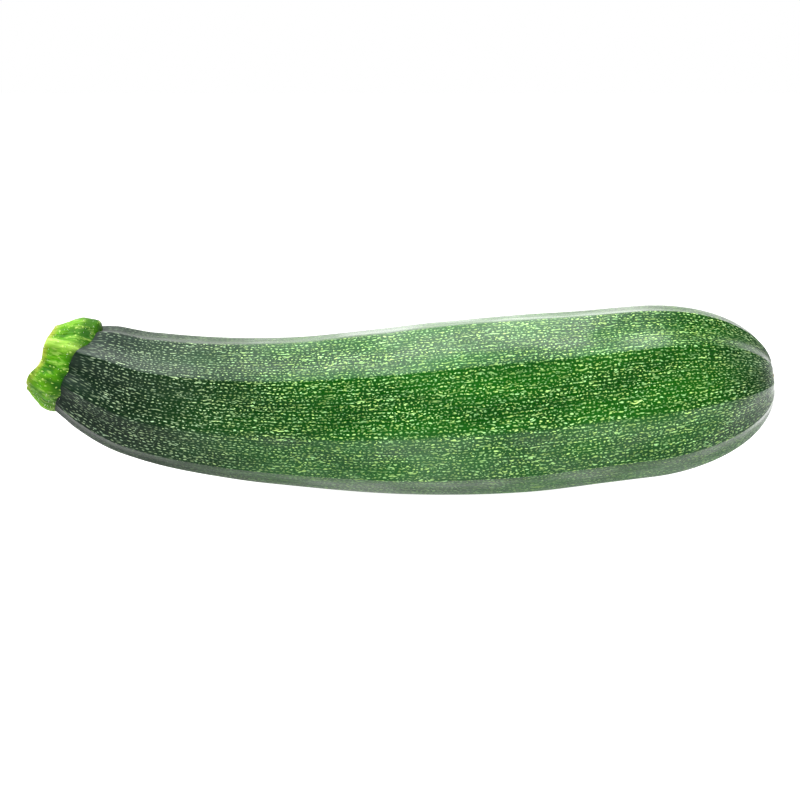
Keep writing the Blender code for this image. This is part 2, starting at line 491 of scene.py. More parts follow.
def fruit_tree():
    """Grows the skin: a round grid spread along the guide, ridged, domed and dimpled."""
    tree, net, given = geometry_tree("Grow fruit", FRUIT_VALUES, Guide="Object", Skin="Material")
    line = net.add("GeometryNodeObjectInfo", {"Object": given["Guide"]}).outputs["Geometry"]
    count = len(RIDGES)
    steps = net.times_add(given["Facet Steps"], float(count), 1.0)
    sheet, across_rings, turn = round_grid(net, given["Rings"], steps)

    # Rings crowd towards both ends, where the skin turns in.
    swing = net.math("COSINE", net.times(across_rings, math.pi))
    share = net.times_add(swing, -0.5, 0.5)
    length = net.first("GeometryNodeCurveLength", {"Curve": line})
    distance = net.times(share, length)
    girth = net.first("GeometryNodeInputRadius")
    feeds = {"Curves": line, "Value": girth, "Length": distance}
    spot = net.add("GeometryNodeSampleCurve", feeds, mode="LENGTH", data_type="FLOAT").outputs

    # The facet that a point is on, and its angle.
    place = net.times(turn, float(count))
    facet = net.math("MINIMUM", net.math("FLOOR", place), count - 1.0)
    across = net.minus(place, facet)
    ridges = [given[f"Ridge {k + 1}"] for k in range(count)]
    starts = net.add("GeometryNodeIndexSwitch", data_type="FLOAT")
    ends = net.add("GeometryNodeIndexSwitch", data_type="FLOAT")
    for node in (starts, ends):
        for _ in range(count - 2):
            node.index_switch_items.new()
        net.feed(node.inputs["Index"], facet)
    for k in range(count):
        net.feed(starts.inputs[str(k)], ridges[k])
        following = ridges[k + 1] if k + 1 < count else net.plus(ridges[0], 360.0)
        net.feed(ends.inputs[str(k)], following)
    width = net.minus(ends.outputs[0], starts.outputs[0])
    own_angle = net.times_add(width, across, starts.outputs[0])

    # The ridges turn slowly round the fruit, except towards the top of the blossom end.
    turned = net.times(given["Twist"], net.minus(share, 0.5))
    off_top = net.over(net.minus(own_angle, TOP_ANGLE), TOP_REACH)
    near_top = net.math("EXPONENT", net.times(net.times(off_top, off_top), -1.0))
    held = net.times(near_top, net.span(share, 0.5, 0.6, 0.0, given["Top Hold"]))
    turned = net.times(turned, net.minus(1.0, held))
    angle = net.math("RADIANS", net.plus(own_angle, turned))
    own_angle = net.math("RADIANS", own_angle)

    # Radius: girth, blossom dome, and the facets flattened between the ridges.
    left = net.over(net.minus(length, distance), given["Dome Length"])
    inside = net.minus(1.0, left, clamp=True)
    dome = net.minus(1.0, net.times(inside, inside), clamp=True)
    ridge = net.times(spot["Value"], net.math("POWER", dome, given["Dome Power"]))
    ends_share = net.math("ABSOLUTE", net.times_add(share, 2.0, -1.0))
    fold = net.times(given["End Fold"], net.math("POWER", ends_share, 3.0))
    half = net.math("RADIANS", net.times(width, 0.5))
    flat = net.minus(1.0, net.math("COSINE", half))
    drop = net.times(flat, net.plus(given["Flatness"], fold))
    bow = net.math("SINE", net.times(across, math.pi))
    bow = net.math("POWER", net.math("MAXIMUM", bow, 0.0), given["Ridge Rounding"])
    radius = net.times(ridge, net.minus(1.0, net.times(drop, bow)))

    # Where a point would be on the fruit pulled straight, for patterns that follow the skin.
    spread = net.math("SQRT", net.times(radius, PATTERN_RADIUS))
    flat_y = net.times(spread, net.math("COSINE", own_angle))
    flat_z = net.times(spread, net.math("SINE", own_angle))
    pulled = net.combine(distance, flat_y, flat_z)

    # Slow swellings and small ripples of the surface.
    swell = net.noise(pulled, 1 / SWELL_SIZE, 1.0)[0]
    ripple = net.noise(net.vector("MULTIPLY", pulled, RIPPLE_DRAW), 1 / RIPPLE_SIZE)[0]
    uneven = net.times(net.minus(swell, 0.5), given["Swell"])
    uneven = net.times_add(net.minus(ripple, 0.5), given["Ripple"], uneven)
    radius = net.plus(radius, uneven)
    between_poles = net.math("LESS_THAN", net.math("ABSOLUTE", swing), 1 - POLE_MARGIN)
    radius = net.times(radius, between_poles)

    # The shoulder laps over the stalk's foot, least at the top and most between the stalk's ridges.
    stalk_ridges = [given[f"Stalk Ridge {k + 1}"] for k in range(len(STALK_RIDGES))]
    valley = net.minus(1.0, crest(net, angle, stalk_ridges, STALK_RIDGE_SHARPNESS))
    curl_fade = fading(net, distance, given["Curl Length"])
    curled = net.times(net.times(valley, given["Curl"]), curl_fade)
    radius = net.times(radius, net.minus(1.0, curled))
    fade = fading(net, distance, given["Lip Length"])
    below_top = net.span(net.math("SINE", angle), 0.35, 0.95, 1.0, 0.3)
    reach = net.times(below_top, given["Lap"])
    reach = net.times_add(valley, given["Lip"], reach)
    lap = net.times(net.times(reach, fade), between_poles)

    # The blossom end's dimple.
    ratio = net.over(radius, given["Dimple Radius"])
    hollow = net.math("EXPONENT", net.times(net.times(ratio, ratio), -1.0))
    hollow = net.times(hollow, net.math("GREATER_THAN", share, 0.5))
    sunk = net.times_add(hollow, given["Dimple Depth"], lap)

    tangent = net.separate(spot["Tangent"])
    up = net.combine(net.times(tangent[2], -1.0), 0.0, tangent[0])
    front = net.combine(0.0, net.times(net.math("COSINE", angle), -1.0), 0.0)
    out = net.vector("ADD", front, net.vector("SCALE", up, net.math("SINE", angle)))
    spot_out = net.vector("ADD", spot["Position"], net.vector("SCALE", out, radius))
    back = net.vector("SCALE", spot["Tangent"], net.times(sunk, -1.0))

    # Fields are read off the flat grid, so they are kept before it takes its shape.
    map_along = net.blend(RING_SPACING, across_rings, share)
    on_map = net.combine(map_along, turn, 0.0)
    kept = store(net, sheet, "OFBake", "FLOAT2", on_map, "CORNER")
    turns = net.over(own_angle, 2 * math.pi)
    rows = net.combine(distance, turns, 0.0)
    kept = store(net, kept, "skin_rows", "FLOAT_VECTOR", rows, "CORNER")
    kept = store(net, kept, "skin_place", "FLOAT_VECTOR", pulled)
    kept = store(net, kept, "along", "FLOAT", share)
    on_ridge = net.math("ABSOLUTE", net.times_add(across, 2.0, -1.0))
    kept = store(net, kept, "ridge", "FLOAT", on_ridge)
    feeds = {"Geometry": kept, "Position": net.vector("ADD", spot_out, back)}
    shaped = net.first("GeometryNodeSetPosition", feeds)
    closed = net.first("GeometryNodeMergeByDistance", {"Geometry": shaped, "Distance": MERGE})
    end_tree(net, closed, given["Skin"])
    return tree


def make_fruit(material):
    line = fruit_guide()
    piece = grown("fruit_skin", fruit_tree(), dict(FRUIT_VALUES, Guide=line, Skin=material))
    bpy.data.objects.remove(line)
    return piece


def vertex_places(piece):
    places = np.empty(len(piece.data.vertices) * 3, np.float32)
    piece.data.vertices.foreach_get("co", places)
    return places


def corners(piece):
    """The low and high corners of a piece's box."""
    places = vertex_places(piece).reshape(-1, 3)
    return Vector(places.min(0).tolist()), Vector(places.max(0).tolist())


def press_belly(piece):
    """Flattens what would reach below the surface that the fruit lies on."""
    places = vertex_places(piece)
    height = places[2::3]
    near = np.clip(1 - np.abs(height) / PRESS, 0, None)
    places[2::3] = np.maximum(height, 0) + near**2 * PRESS / 4
    piece.data.vertices.foreach_set("co", places)
    piece.data.update()


# The stalk


def stalk_axes():
    """The seat's centre and the directions there along the fruit and up across it."""
    first = Vector((SPINE[0][0], 0.0, SPINE[0][1]))
    near = SPINE[0][0] + (SPINE[1][0] - SPINE[0][0]) / SEAT_STEPS
    along = (Vector((near, 0.0, smooth_value(SPINE, near))) - first).normalized()
    return first + SHIFT, along, Vector((-along.z, 0.0, along.x))


def stalk_section(share):
    """The centre and the front and up directions of the section at a share of the stalk's length.

    Below 0, the section is one of the fruit's own, that far back along the fruit.
    """
    seat, along, up = stalk_axes()
    if share < 0:
        return seat - along * share * STALK_LENGTH, FRONT, up
    centre = seat + Vector((STALK_OFFSET[0], 0.0, STALK_OFFSET[1])) * share
    rise, turn = math.radians(CUT_RISE), math.radians(CUT_TURN)
    cut_faces = Vector(
        (-math.cos(rise) * math.cos(turn), math.cos(rise) * math.sin(turn), math.sin(rise))
    )
    faces = (-along).lerp(cut_faces, share).normalized()
    front = (FRONT - faces * FRONT.dot(faces)).normalized()
    return centre, front, faces.cross(front)


def lobe_heights(angle, share):
    """The share of each lobe's height at an angle in degrees: 1 on its crest."""
    near = []
    for lobe in STALK_LOBES:
        crest_angle = lobe["seat"] + (lobe["cut"] - lobe["seat"]) * max(share, 0.0)
        away = (angle - crest_angle + 180) % 360 - 180
        width = lobe["width"] * (1 + 0.5 * max(0.0, 0.15 - share))
        near.append(bell(away, width))
    return near


def stalk_radius(angle, share, wobble):
    """The stub's radius, and the shares of the lobes' heights.

    Below 0, its feet follow the fruit's shoulder and dive under the skin.
    """
    near = lobe_heights(angle, share)
    up_stalk = max(share, 0.0)
    radius = smooth_value(VALLEY_GIRTH, up_stalk)
    for part, lobe in zip(near, STALK_LOBES):
        nose = min(max((share - lobe["nose"]) / NOSE_LENGTH, 0.0), 1.0)
        rounded = math.sqrt(nose * (2 - nose))
        heights = tuple(zip((0.0, 0.4, 1.0), lobe["heights"]))
        radius += part * rounded * smooth_value(heights, up_stalk)
    if share < 0:
        widening = smooth_value(GIRTH, -share * STALK_LENGTH) - smooth_value(GIRTH, 0.0)
        radius += FOOT_FLARE * widening
        radius -= FOOT_DIVE * (share / FOOT_SHARE) ** 2
    return radius + wobble, near


def rim_dip(angle):
    """How far the cut is set back at an angle: it follows the groove beside the pale lobe."""
    away = (angle - DIP_ANGLE + 180) % 360 - 180
    return RIM_DIP * bell(away, DIP_WIDTH)


def ringed_piece(name, rings, steps, place_of, marks, material):
    """A closed tube of rings with a pole at each end, its marks kept for the material.

    place_of(ring, angle) gives a point and the values of its marks.
    """
    places, kept = [], {mark: [] for mark in marks}
    for ring in range(rings):
        for step in range(steps):
            place, values = place_of(ring, 360.0 * step / steps)
            places.append(place)
            for mark in marks:
                kept[mark].append(values[mark])
    faces = []
    for ring in range(rings - 1):
        for step in range(steps):
            a, b = ring * steps + step, ring * steps + (step + 1) % steps
            faces.append((a, b, b + steps, a + steps))
    for ring, turned in ((0, False), (rings - 1, True)):
        first = ring * steps
        centre = sum((places[first + k] for k in range(steps)), Vector()) / steps
        places.append(centre)
        for mark in marks:
            kept[mark].append(kept[mark][first])
        pole = len(places) - 1
        for step in range(steps):
            a, b = first + step, first + (step + 1) % steps
            faces.append((a, b, pole) if turned else (b, a, pole))
    mesh = bpy.data.meshes.new(name)
    mesh.from_pydata([tuple(place) for place in places], [], faces)
    for mark in marks:
        vectors = isinstance(kept[mark][0], Vector)
        field = mesh.attributes.new(mark, "FLOAT_VECTOR" if vectors else "FLOAT", "POINT")
        flat = [c for value in kept[mark] for c in value] if vectors else kept[mark]
        field.data.foreach_set("vector" if vectors else "value", flat)
    bm = bmesh.new()
    bm.from_mesh(mesh)
    bmesh.ops.recalc_face_normals(bm, faces=bm.faces)
    bm.to_mesh(mesh)
    bm.free()
    mesh.shade_smooth()
    mesh.materials.append(material)
    return new_object(name, mesh)


def lumps(place, size, seed):
    """Smooth noise, about -1 to 1."""
    return noise.noise(place / size + Vector((seed, 0.7 * seed, -seed)))


def make_stub(material):
    """The lobed stub: feet over the fruit's shoulder, a rolled rim and a recess for the cut."""

    def place_of(ring, angle):
        inside, drop = 1.0, 0.0
        if ring < WALL_RINGS:
            share = -FOOT_SHARE + (1 + FOOT_SHARE) * (ring / (WALL_RINGS - 1)) ** RING_CROWDING
        else:
            share = 1.0
            drop, inside = RIM_ROLL[ring - WALL_RINGS]
        centre, front, up = stalk_section(share)
        radians = math.radians(angle)
        out = math.cos(radians) * front + math.sin(radians) * up

        # Lumps and lengthwise fibres, calmer towards the feet.
        spot = Vector((0.0, math.cos(radians), math.sin(radians))) * STALK_PATTERN_RADIUS
        spot.x = share * STALK_LENGTH
        wobble = 0.00045 * lumps(spot, 0.0042, 3.0) + 0.00018 * lumps(spot, 0.0016, 5.0)
        fibres = Vector((spot.x * 0.15, spot.y, spot.z))
        wobble += 0.00016 * lumps(fibres, 0.0007, 8.0)
        wobble *= min(max((share - 0.2) / 0.3, 0.25), 1.0)
        radius, near = stalk_radius(angle, share, wobble)

        # The cut end is torn a little and sinks at the groove beside the pale lobe.
        faces = front.cross(up)
        rough_cut = 0.00035 * lumps(spot, 0.003, 9.0) * max(share, 0.0) ** 6
        rough_cut -= rim_dip(angle) * max(share, 0.0) ** 3 * inside
        place = centre + out * radius * inside + faces * (drop + rough_cut)

        # A lobe's paleness: partly its own lime, partly painted light.
        ridge = max(part * lobe["pale"] for part, lobe in zip(near, STALK_LOBES))
        # The band along the pale lobe is a painted highlight.
        band = near[PALE_LOBE] ** 3 * min(max((share - 0.05) / 0.2, 0.0), 1.0)
        marks = {"along": min(max(share, 0.0), 1.0), "ridge": ridge, "painted_highlight_band": band}
        marks["stalk_place"] = spot
        return place, marks

    marks = ("along", "ridge", "painted_highlight_band", "stalk_place")
    rings = WALL_RINGS + len(RIM_ROLL)
    return ringed_piece("stalk_stub", rings, STUB_STEPS, place_of, marks, material)


def make_cut(material):
    """The cut's face: a thin plate in the stub's recess, sunk towards its middle."""

    def place_of(ring, angle):
        inward = ring / (CUT_RINGS - 1)
        centre, front, up = stalk_section(1.0)
        radians = math.radians(angle)
        out = math.cos(radians) * front + math.sin(radians) * up
        spot = Vector((0.0, math.cos(radians), math.sin(radians)))
        spot *= STALK_PATTERN_RADIUS * (1 - inward)
        radius, _ = stalk_radius(angle, 1.0, 0.0)
        if ring == 0:  # the hidden underside of the plate
            level, inside = -0.0010, 0.84
        else:  # sunk at the edge and in the middle, with ten bundles standing up
            inside = CUT_PLATE * (1 - (ring - 1) / (CUT_RINGS - 2)) ** 0.8
            bundles = bell(inside - PITH_RING, 0.12) * (0.5 + 0.5 * math.cos(radians * 10))
            level = -0.0001 - 0.0005 * (1 - inside) + 0.0003 * bundles - 0.0009 * bell(inside, 0.16)
            level += 0.00012 * lumps(spot, 0.0012, 2.0)
            if ring == 1:
                level = -0.0004
        faces = front.cross(up)
        level -= rim_dip(angle) * inside**2
        place = centre + out * radius * inside + faces * level
        return place, {"inward": 1 - inside, "stalk_place": spot}

    marks = ("inward", "stalk_place")
    return ringed_piece("cut_face", CUT_RINGS, STUB_STEPS, place_of, marks, material)


BRISTLE_VALUES = {
    "Density": 420000.0,
    "Length": 0.0008,
    "Thickness": 0.00007,
    "Lean": 0.5,
    "Seed": 11,
}
HAIR_SIDES = 5
SHORTEST_HAIR = 0.45  # share of the full length


def bristle_tree():
    """Scatters short stiff hairs over a surface, each leaning its own way."""
    tree, net, given = geometry_tree("Grow bristles", BRISTLE_VALUES, Hair="Material")
    read = "GeometryNodeInputNamedAttribute"
    ridge = net.first(read, {"Name": "ridge"}, data_type="FLOAT")
    along = net.first(read, {"Name": "along"}, data_type="FLOAT")

    # More of them on the lobes, and none at the cut and under the fruit's shoulder.
    density = net.times(given["Density"], net.times_add(ridge, 0.8, 0.35))
    density = net.times(density, net.math("LESS_THAN", along, 0.97))
    density = net.times(density, net.math("GREATER_THAN", along, 0.02))
    feeds = {"Mesh": given["Geometry"], "Density": density, "Seed": given["Seed"]}
    scatter = "GeometryNodeDistributePointsOnFaces"
    points = net.add(scatter, feeds, distribute_method="RANDOM").outputs

    feeds = {"Vertices": HAIR_SIDES, "Side Segments": 1, "Depth": given["Length"]}
    feeds.update({"Radius Top": 0.0, "Radius Bottom": given["Thickness"]})
    cone = net.first("GeometryNodeMeshCone", feeds, fill_type="NGON")
    feeds = {0: (-1.0, -1.0, 0.0), 1: (1.0, 1.0, 1.0), "Seed": given["Seed"]}
    lean = net.first("FunctionNodeRandomValue", feeds, data_type="FLOAT_VECTOR")
    lean = net.vector("MULTIPLY", lean, net.combine(given["Lean"], given["Lean"], 0.0))
    feeds = {0: points["Rotation"], 1: lean}
    turn = net.add("FunctionNodeRotateRotation", feeds, rotation_space="LOCAL")
    feeds = {2: SHORTEST_HAIR, 3: 1.0, "Seed": net.plus(given["Seed"], 1.0)}
    size = net.add("FunctionNodeRandomValue", feeds, data_type="FLOAT").outputs[1]
    feeds = {"Points": points["Points"], "Instance": cone, "Rotation": turn.outputs[0], "Scale": size}
    hairs = net.first("GeometryNodeInstanceOnPoints", feeds)
    end_tree(net, hairs, given["Hair"])
    return tree


def make_bristles(stub, material):
    values = dict(BRISTLE_VALUES, Hair=material)
    return grown("stalk_bristles", bristle_tree(), values, stub.data.copy())


# The blossom end


def make_scar(material):
    """The small corky plate where the flower sat, with the broken base of its style."""
    seat = Vector((SPINE[-1][0], 0.0, SPINE[-1][1])) + SHIFT
    near = SPINE[-1][0] - SCAR_STEP_IN
    along = (seat - Vector((near, 0.0, smooth_value(SPINE, near))) - SHIFT).normalized()
    up = Vector((-along.z, 0.0, along.x))

    def place_of(ring, angle):
        inside = 1 - ring / (SCAR_RINGS - 1)
        radians = math.radians(angle)
        out = math.cos(radians) * FRONT + math.sin(radians) * up
        spot = Vector((inside * 0.003, math.cos(radians) * 0.004, math.sin(radians) * 0.004))
        radius = SCAR_RADIUS * inside * (1 + 0.10 * lumps(spot, 0.003, 4.0))
        hollow = SCAR_HOLLOW * bell(radius, FRUIT_VALUES["Dimple Radius"])
        level = -0.0003 - hollow + 0.0002 * lumps(spot, 0.0011, 6.0)
        level += 0.00035 * bell(inside - 0.82, 0.12)  # the raised ring
        level += 0.0008 * bell(inside, 0.22)  # the base of the style
        if ring == 0:  # the hidden underside
            level = -0.0018
        return seat + out * radius + along * level, {"inward": 1 - inside}

    return ringed_piece("blossom_scar", SCAR_RINGS, SCAR_STEPS, place_of, ("inward",), material)


# Finishes


def shader_group(name, vectors, numbers, outputs):
    """An empty shader group of named vector inputs, numbers with their values, and outputs."""
    tree = bpy.data.node_groups.new(name, "ShaderNodeTree")
    for label in vectors:
        tree.interface.new_socket(label, in_out="INPUT", socket_type="NodeSocketVector")
    for label, value in numbers.items():
        socket = tree.interface.new_socket(label, in_out="INPUT", socket_type="NodeSocketFloat")
        socket.default_value = value
    for label in outputs:
        tree.interface.new_socket(label, in_out="OUTPUT", socket_type="NodeSocketFloat")
    net = Net(tree)
    return tree, net, net.add("NodeGroupInput").outputs


WAVERS_PER_METRE = 400.0


def fleck_group():
    """Soft spots in wavering lengthwise rows, each of its own length and strength.

    Place runs along the fruit in metres and round it in turns; the rows waver over Drift.
    """
    numbers = {"Rows": 150.0, "Pitch": 0.0012, "Length": 0.25, "Width": 0.3}
    numbers.update({"Waver": 1.2, "Softness": 0.5})
    tree, net, given = shader_group("Flecks", ("Place", "Drift"), numbers, ("Mask", "Chance"))
    waver = net.noise(given["Drift"], WAVERS_PER_METRE)[1]
    waver = net.vector("SUBTRACT", waver, (0.5, 0.5, 0.5))
    waver = net.separate(net.vector("SCALE", waver, given["Waver"]))
    place = net.separate(given["Place"])
    across = net.times_add(place[1], given["Rows"], waver[1])
    row = net.math("FLOORED_MODULO", net.math("FLOOR", across), given["Rows"])
    own = net.add("ShaderNodeTexWhiteNoise", {"W": row}, noise_dimensions="1D").outputs["Value"]
    start = net.times_add(own, 40.0, waver[0])
    paced = net.over(net.times_add(own, 0.3, 0.85), given["Pitch"])
    lengthwise = net.times_add(place[0], paced, start)
    cell = net.combine(net.math("FLOOR", lengthwise), row, 0.0)
    dice = net.add("ShaderNodeTexWhiteNoise", {"Vector": cell}, noise_dimensions="2D")
    chance = net.separate(dice.outputs["Color"])
    size = net.times_add(chance[2], 1.0, 0.5)
    shift = net.times_add(chance[0], 0.5, 0.25)
    away_x = net.minus(net.math("FRACT", lengthwise), shift)
    away_x = net.over(away_x, net.times(size, given["Length"]))
    shift = net.times_add(chance[1], 0.44, 0.28)
    away_y = net.minus(net.math("FRACT", across), shift)
    away_y = net.over(away_y, given["Width"])
    away = net.vector("LENGTH", net.combine(away_x, away_y, 0.0))
    mask = net.span(away, net.minus(1.0, given["Softness"]), 1.0, 1.0, 0.0)
    spread = net.math("FRACT", net.times(chance[1], 7.0))
    strength = net.times_add(spread, 0.7, 0.3)
    feeds = {"Mask": net.times(mask, strength), "Chance": chance[0]}
    net.add("NodeGroupOutput", feeds)
    return tree


def speck_group():
    """Small soft spots scattered through space and drawn out along x."""
    numbers = {"Spacing": 0.001, "Stretch": 1.6, "Size": 0.35, "Waver": 0.3, "Softness": 0.6}
    tree, net, given = shader_group("Specks", ("Place",), numbers, ("Mask",))
    per_metre = net.over(1.0, given["Spacing"])
    drawn = net.combine(net.over(1.0, given["Stretch"]), 1.0, 1.0)
    place = net.vector("SCALE", net.vector("MULTIPLY", given["Place"], drawn), per_metre)
    wobble = net.vector("SUBTRACT", net.noise(place, 0.6, 1.0)[1], (0.5, 0.5, 0.5))
    place = net.vector("ADD", place, net.vector("SCALE", wobble, given["Waver"]))
    feeds = {"Vector": place, "Scale": 1.0, "Randomness": 0.92}
    spots = net.add("ShaderNodeTexVoronoi", feeds, voronoi_dimensions="3D", feature="F1").outputs
    chance = net.separate(spots["Color"])
    size = net.times(given["Size"], net.times_add(chance[0], 0.7, 0.6))
    core = net.times(size, net.minus(1.0, given["Softness"]))
    mask = net.span(spots["Distance"], core, size, 1.0, 0.0)
    strength = net.times_add(chance[1], 0.5, 0.5)
    net.add("NodeGroupOutput", {"Mask": net.times(mask, strength)})
    return tree


def mottle_group():
    """Slow uneven tone, 0 to 1, drawn out along x."""
    numbers = {"Size": 0.01, "Stretch": 2.0, "Detail": 3.0, "Contrast": 0.2}
    tree, net, given = shader_group("Mottle", ("Place",), numbers, ("Tone",))
    drawn = net.combine(net.over(1.0, given["Stretch"]), 1.0, 1.0)
    place = net.vector("MULTIPLY", given["Place"], drawn)
    tone = net.noise(place, net.over(1.0, given["Size"]), given["Detail"])[0]
    low = net.minus(0.5, given["Contrast"])
    high = net.plus(0.5, given["Contrast"])
    net.add("NodeGroupOutput", {"Tone": net.span(tone, low, high)})
    return tree


def placed(net, tree, **feeds):
    """Places a group in a material, its inputs given by name."""
    node = net.add("ShaderNodeGroup", node_tree=tree)
    net.feed_all(node, feeds)
    return node.outputs


def new_material(name):
    material = bpy.data.materials.new(name)
    material.use_nodes = True
    return material, Net(material.node_tree), material.node_tree.nodes["Principled BSDF"]


def bump(net, height, strength, distance):
    feeds = {"Height": height, "Strength": strength, "Distance": distance}
    return net.first("ShaderNodeBump", feeds)


def flecks_kept(net, rows):
    """The share of the flecks that a place has: fewer on the facets on top and beneath.

    The thinning is painted light: it follows where those facets mirror the lamps.
    """
    turn = net.separate(rows)[1]
    from_top = net.math("ABSOLUTE", net.minus(turn, TOP_FACET))
    from_below = net.math("ABSOLUTE", net.minus(turn, UNDER_FACETS))
    on_top = net.span(from_top, 0.044, 0.052, 0.6, 1.0)
    beneath = net.span(from_below, 0.082, 0.095, 0.5, 1.0)
    return net.times(on_top, beneath)


def skin_material(groups):
    material, net, shader = new_material("courgette_skin")
    place = net.attribute("skin_place")["Vector"]
    rows = net.attribute("skin_rows")["Vector"]
    along = net.attribute("along")["Fac"]
    on_rows = {"Place": rows, "Drift": place}
    flecks, specks, mottle = groups["flecks"], groups["specks"], groups["mottle"]

    # The green under the flecks, greyer at the blossom end and blackish at the neck, partly from
    # painted shade of the crevice beside the stalk.
    deep = net.ramp(along, GROUND_DEEP)
    vivid = net.ramp(along, GROUND_VIVID)
    tone = placed(net, mottle, Place=place, Size=0.009, Stretch=3.0, Contrast=0.22)["Tone"]
    ground = net.tint(tone, deep, vivid)

    # Pale flecks: faint grain, two layers of flecks, a layer of dashes, and a few blotches.
    # Bare of flecks right at the stalk: partly painted shade of the crevice beside it.
    bare = net.span(along, -0.002, 0.012)
    grown_out = net.span(along, 0.05, 0.35)
    layers = (GRAIN_FLECKS, FINE_FLECKS, SMALL_FLECKS, DASHES)
    grain, fine, small, dash = (placed(net, flecks, **layer, **on_rows) for layer in layers)
    small = net.times(small["Mask"], net.times_add(grown_out, 0.45, 0.1))
    light = net.math("MAXIMUM", fine["Mask"], small)
    drawn = net.times(dash["Mask"], net.span(dash["Chance"], 0.45, 0.8))
    light = net.math("MAXIMUM", light, net.times(drawn, 0.9))
    density = placed(net, mottle, Place=place, Size=0.003, Stretch=5.0, Contrast=0.2)["Tone"]
    light = net.times(light, net.times_add(density, 0.6, 0.5))
    # Painted light: flecks thinned on the top and under facets, where the skin mirrors the lamps.
    kept = flecks_kept(net, rows)
    light = net.times(net.times(light, kept), bare, clamp=True)
    grained = net.times(net.times(grain["Mask"], bare), kept)
    ground = net.tint(grained, ground, net.ramp(along, GRAIN))
    pale = net.tint(fine["Chance"], net.ramp(along, FLECKS_COOL), net.ramp(along, FLECKS_WARM))
    colour = net.tint(light, ground, pale)
    blotch = placed(net, specks, Place=place, **BLOTCHES)["Mask"]
    blotch = net.times(blotch, net.span(along, 0.35, 0.8))
    colour = net.tint(net.times(blotch, 0.75), colour, BLOTCH)

    # Wax lies in patches and in fine lengthwise streaks.
    wax = placed(net, mottle, Place=place, Size=0.012, Stretch=2.0, Contrast=0.15)["Tone"]
    wax = net.times(wax, net.span(along, 0.1, 0.35, 0.15, 0.6))
    streaks = placed(net, mottle, Place=place, Size=0.0005, Stretch=30.0, Contrast=0.2)["Tone"]
    rough = net.plus(net.blend(streaks, 0.25, 0.42), net.span(along, 0.0, 0.3, 0.06, 0.0))
    rough = net.times_add(light, 0.1, rough)

    # The flecks, the streaks and the lines along the ridges stand up a little.
    pores = placed(net, mottle, Place=place, Size=0.0012, Stretch=2.0, Contrast=0.3)["Tone"]
    height = net.times_add(light, 0.6, net.times(pores, 0.3))
    height = net.times_add(streaks, 0.9, height)
    crest_line = net.math("POWER", net.attribute("ridge")["Fac"], 14.0)
    height = net.times_add(crest_line, 2.0, height)
    feeds = {
        "Base Color": colour,
        "Roughness": rough,
        "Specular IOR Level": 0.2,
        "Specular Tint": SHEEN_TINT,
        "Coat Weight": wax,
        "Coat Roughness": 0.2,
        "Normal": bump(net, height, 0.35, 0.00012),
    }
    net.feed_all(shader, feeds)
    return material


def stalk_material(groups):
    material, net, shader = new_material("stalk_green")
    place = net.attribute("stalk_place")["Vector"]
    along = net.attribute("along")["Fac"]
    ridge = net.attribute("ridge")["Fac"]
    painted_highlight_band = net.attribute("painted_highlight_band")["Fac"]

    # Deep green, lime on the lobes, partly painted light that makes the top lobe paler; painted
    # shade at the foot; drying at the cut's rim.
    specks, mottle = groups["specks"], groups["mottle"]
    tone = placed(net, mottle, Place=place, Size=0.0022, Stretch=1.5, Contrast=0.16)["Tone"]
    green = net.tint(tone, STALK_DEEP, STALK_BRIGHT)
    green = net.tint(net.math("POWER", ridge, 1.5), green, STALK_LIME)
    fibre = placed(net, mottle, Place=place, Size=0.0008, Stretch=7.0, Contrast=0.12)["Tone"]
    green = net.tint(net.times(fibre, 0.2), green, STALK_LIME)
    green = net.tint(net.span(along, 0.25, 0.6, 0.8, 0.0), green, STALK_SHADE)
    dried = net.times_add(tone, 0.6, 0.05)
    rim = net.times(net.span(along, 0.84, 1.0), dried)
    green = net.tint(rim, green, STALK_RIM)
    # A painted highlight along the pale lobe, broken up by a mottle that also places the torn fibres.
    highlight_and_tear_mottle = placed(net, mottle, Place=place, Size=0.0011, Stretch=5.0, Contrast=0.1)["Tone"]
    band = net.times(painted_highlight_band, net.times_add(highlight_and_tear_mottle, 0.5, 0.5))
    green = net.tint(band, green, STALK_PAINTED_HIGHLIGHT)

    # White hair bases and torn fibres.
    feeds = {"Spacing": 0.0007, "Stretch": 1.8, "Size": 0.26, "Waver": 1.4}
    bases = placed(net, specks, Place=place, **feeds)["Mask"]
    torn = placed(net, mottle, Place=place, Size=0.0005, Stretch=3.5, Contrast=0.1)["Tone"]
    torn = net.times(torn, net.span(highlight_and_tear_mottle, 0.6, 0.95))
    white = net.math("MAXIMUM", bases, net.times(torn, 0.3))
    colour = net.tint(net.times(white, 0.8), green, HAIR_WHITE)
    height = net.times_add(white, 0.6, fibre)
    feeds = {
        "Base Color": colour,
        "Roughness": net.blend(fibre, 0.42, 0.6),
        "Specular IOR Level": 0.1,
        "Subsurface Weight": 0.08,
        "Subsurface Radius": (0.4, 0.7, 0.15),
        "Subsurface Scale": 0.0015,
        "Normal": bump(net, height, 0.9, 0.00025),
    }
    net.feed_all(shader, feeds)
    return material


def cut_material(groups):
    material, net, shader = new_material("cut_pith")
    place = net.attribute("stalk_place")["Vector"]
    colour = net.ramp(net.attribute("inward")["Fac"], PITH)
    feeds = {"Spacing": 0.0006, "Stretch": 1.0, "Size": 0.5}
    pores = placed(net, groups["specks"], Place=place, **feeds)["Mask"]
    colour = net.tint(net.times(pores, 0.4), colour, PORE)
    feeds = {"Size": 0.004, "Stretch": 1.0, "Contrast": 0.25}
    dry = placed(net, groups["mottle"], Place=place, **feeds)["Tone"]
    colour = net.tint(net.times(dry, 0.35), colour, DRIED_PITH)
    feeds = {"Base Color": colour, "Roughness": net.blend(pores, 0.55, 0.75)}
    feeds["Normal"] = bump(net, net.minus(dry, pores), 0.8, 0.0002)
    net.feed_all(shader, feeds)
    return material


